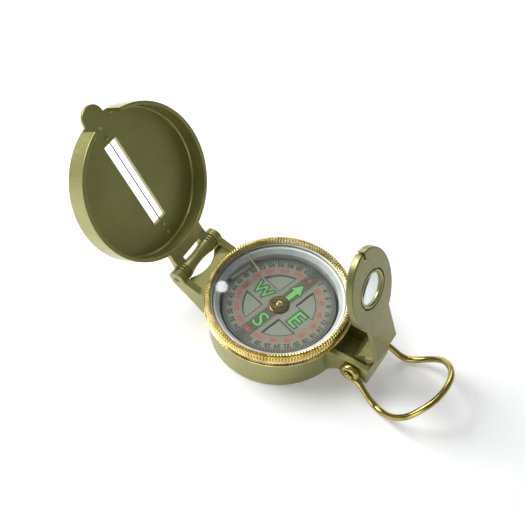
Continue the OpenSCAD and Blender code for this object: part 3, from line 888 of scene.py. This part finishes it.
def pivot_pin():
    """Riveted pin with a domed head at each end."""
    head_in, head_out = EYE_Y + 1.4, EYE_Y + 2.28
    side = [(1.3, 0, 0), (1.3, head_in, 0), (1.75, head_in, 0.1), (1.75, head_in + 0.3, 0.2),
            (1.2, head_out, 0.5)]
    profile = [(0, head_out, 0)] + side[:0:-1] + [(r, -y, e) for r, y, e in side[1:]] + [(0, -head_out, 0)]
    return lathe("pivot_pin", rounded(profile, 0.1), crosswise(PIVOT.x, PIVOT.z), SMALL_ROUND)


piece(pivot_pin(), "case", "brass", LOOP_BRASS, "eyepiece_pin")
piece(lathe("hinge_pin", rounded([(0, -12.75, 0), (1.2, -12.75, 0.3), (1.2, 12.75, 0.3), (0, 12.75, 0)]),
            crosswise(HINGE.x, HINGE.z), SMALL_ROUND),
      "case", "steel", PIN_STEEL, "lid_hinge_pin")


def washer(name, centre, inner, outer, y0, y1):
    def make(side):
        low, high = sorted((side * y0, side * y1))
        return lathe("ring", rounded([(inner, low), (outer, low), (outer, high), (inner, high)], 0.08),
                     Matrix.Translation((centre.x, 0, centre.z)) @ Matrix.Rotation(-math.pi / 2, 4, "X"), 48)
    return both_sides(name, make)


piece(washer("hinge_washers", HINGE, 1.22, 2.9, 9.37, 9.67), "case", "brass", PALE_BRASS, "lid_washers")
piece(washer("pivot_washers", PIVOT, 1.32, 2.8, 5.57, 5.97), "case", "brass", PALE_BRASS, "eyepiece_washers")

LOOP_ROUTE = [(38.3, 9.6, 7.85), (40.2, 9.9, 7.0), (43.0, 10.6, 4.6), (45.4, 11.1, 2.5),
              (48.2, 11.8, 1.42), (52.2, 13.2, 2.5), (56.8, 14.2, 5.6), (61.2, 13.3, 9.4),
              (65.0, 10.0, 13.2), (67.6, 5.4, 15.8)]
LOOP_TIP = (68.4, 0, 16.75)
EYE_START, EYE_END, EYE_STEPS = math.radians(-8), math.radians(284), 30


def thumb_loop():
    """One wire: an eye round the pin, out along one side, across the tip and back to the other eye."""
    eye = []
    for k in range(EYE_STEPS + 1):
        a = EYE_START + (EYE_END - EYE_START) * k / EYE_STEPS
        eye.append(Vector((PIVOT.x + EYE_RING_R * math.cos(a), EYE_Y, PIVOT.z + EYE_RING_R * math.sin(a))))
    half = eye + [Vector(p) for p in LOOP_ROUTE]
    knots = half + [Vector(LOOP_TIP)] + [Vector((p.x, -p.y, p.z)) for p in reversed(half)]
    last = len(knots) - 1
    path = []
    for i in range(last):
        a, b, c, d = (knots[max(0, min(last, i + k))] for k in (-1, 0, 1, 2))
        steps = max(1, round((c - b).length / 0.6))
        for s in range(steps):
            t = s / steps
            path.append(0.5 * (2 * b + (c - a) * t + (2 * a - 5 * b + 4 * c - d) * t * t
                               + (3 * b - a - 3 * c + d) * t ** 3))
    return tube("wire_loop", path + [knots[-1]], WIRE_R, 24)


piece(thumb_loop(), "loop", "brass", LOOP_BRASS, "thumb_loop")

INSIDE = {"crystal_gasket": RUBBER, "capsule_gasket": RUBBER, "bezel_spring": STEEL, "fill_screw": STEEL,
          "expansion_diaphragm": PALE_BRASS, "pivot_post": PALE_BRASS, "pivot_needle": STEEL}
for node, look in INSIDE.items():
    dress(frame["nodes"][node], look)


# ---------------------------------------------------------------- stage, light and camera

def studio_floor():
    look = Look("studio_floor", (0.92, 0.92, 0.92), roughness=0.9, Emission_Color=(1, 1, 1, 1))
    look.colour(look.mix(look.spread(look.noise(60, 2), 0, 1), (0.9, 0.9, 0.9), (0.94, 0.94, 0.94)))
    # Painted light: the floor glows, evenly out to 0.15 m from the compass and fading to nothing at 1.2 m,
    # which lights the compass from below and washes out its shadow on the floor.
    away = look.node("ShaderNodeVectorMath", operation="LENGTH")
    look.link(look.place, away.inputs[0])
    glow = look.spread(away.outputs["Value"], 0.2, 0.0, 0.15, 1.2)
    look.link(glow, look.shader.inputs["Emission Strength"])

    def build(bm):
        skin(bm, [[(-4, -4, 0), (4, -4, 0)], [(-4, 4, 0), (4, 4, 0)]], closed_rings=False)
    floor = mesh_object("floor", build)
    floor.data.materials.append(look.material)


CAMERA_AZIMUTH, CAMERA_ELEVATION, CAMERA_ROLL = math.radians(33.46), math.radians(53.69), math.radians(-0.89)
CAMERA_DISTANCE, CAMERA_TARGET, CAMERA_LENS = 428.5, Vector((-10.01, 4.53, 27.14)), 81.21
BACK = Vector((math.sin(CAMERA_AZIMUTH) * math.cos(CAMERA_ELEVATION),
               -math.cos(CAMERA_AZIMUTH) * math.cos(CAMERA_ELEVATION), math.sin(CAMERA_ELEVATION)))
RIGHT = Vector((math.cos(CAMERA_AZIMUTH), math.sin(CAMERA_AZIMUTH), 0))
UP = BACK.cross(RIGHT)


def area_light(name, shape, aim, offset, size, power):
    """An area light at an offset from the point that it faces."""
    light = bpy.data.lights.new(name, "AREA")
    light.shape, light.size, light.energy = shape, size * MM, power
    obj = bpy.data.objects.new(name, light)
    bpy.context.scene.collection.objects.link(obj)
    obj.location = (aim + offset) * MM
    obj.rotation_euler = offset.to_track_quat("Z", "Y").to_euler()


def lamp(name, right, up, back, size, power):
    """A square softbox placed from the middle of the compass by distances in the camera's own directions."""
    area_light(name, "SQUARE", CAMERA_TARGET, RIGHT * right + UP * up + BACK * back, size, power)


def glare(spot, distance, size, power):
    """A small round lamp placed so that the glass shows it at a spot in the photo's view."""
    ray = (spot - CAMERA_TARGET - BACK * CAMERA_DISTANCE).normalized()
    area_light("glare", "DISK", spot, Vector((ray.x, ray.y, -ray.z)) * distance, size, power)


def camera():
    data = bpy.data.cameras.new("camera")
    data.lens, data.sensor_width = CAMERA_LENS, 36
    data.clip_start, data.clip_end = 0.01, 20
    obj = bpy.data.objects.new("camera", data)
    bpy.context.scene.collection.objects.link(obj)
    c, s = math.cos(CAMERA_ROLL), math.sin(CAMERA_ROLL)
    right, up = RIGHT * c + UP * s, UP * c - RIGHT * s
    turn = Matrix((right, up, BACK)).transposed().to_4x4()
    obj.matrix_world = Matrix.Translation((CAMERA_TARGET + BACK * CAMERA_DISTANCE) * MM) @ turn
    bpy.context.scene.camera = obj


def world():
    made = bpy.data.worlds.new("studio")
    made.use_nodes = True
    shade = made.node_tree.nodes["Background"]
    shade.inputs["Color"].default_value = (0.95, 0.97, 1.0, 1)
    shade.inputs["Strength"].default_value = 0.22
    bpy.context.scene.world = made


studio_floor()
world()
camera()
lamp("key", -420, 420, 260, 420, 5.0)
lamp("front", -260, -420, 420, 360, 0.9)
lamp("top", 40, 500, -60, 350, 1.1)
glare(Vector((-20.3, -6.8, GLASS_TOP)), 500, 9, 0.0011)
bpy.context.scene.view_settings.view_transform = "Standard"
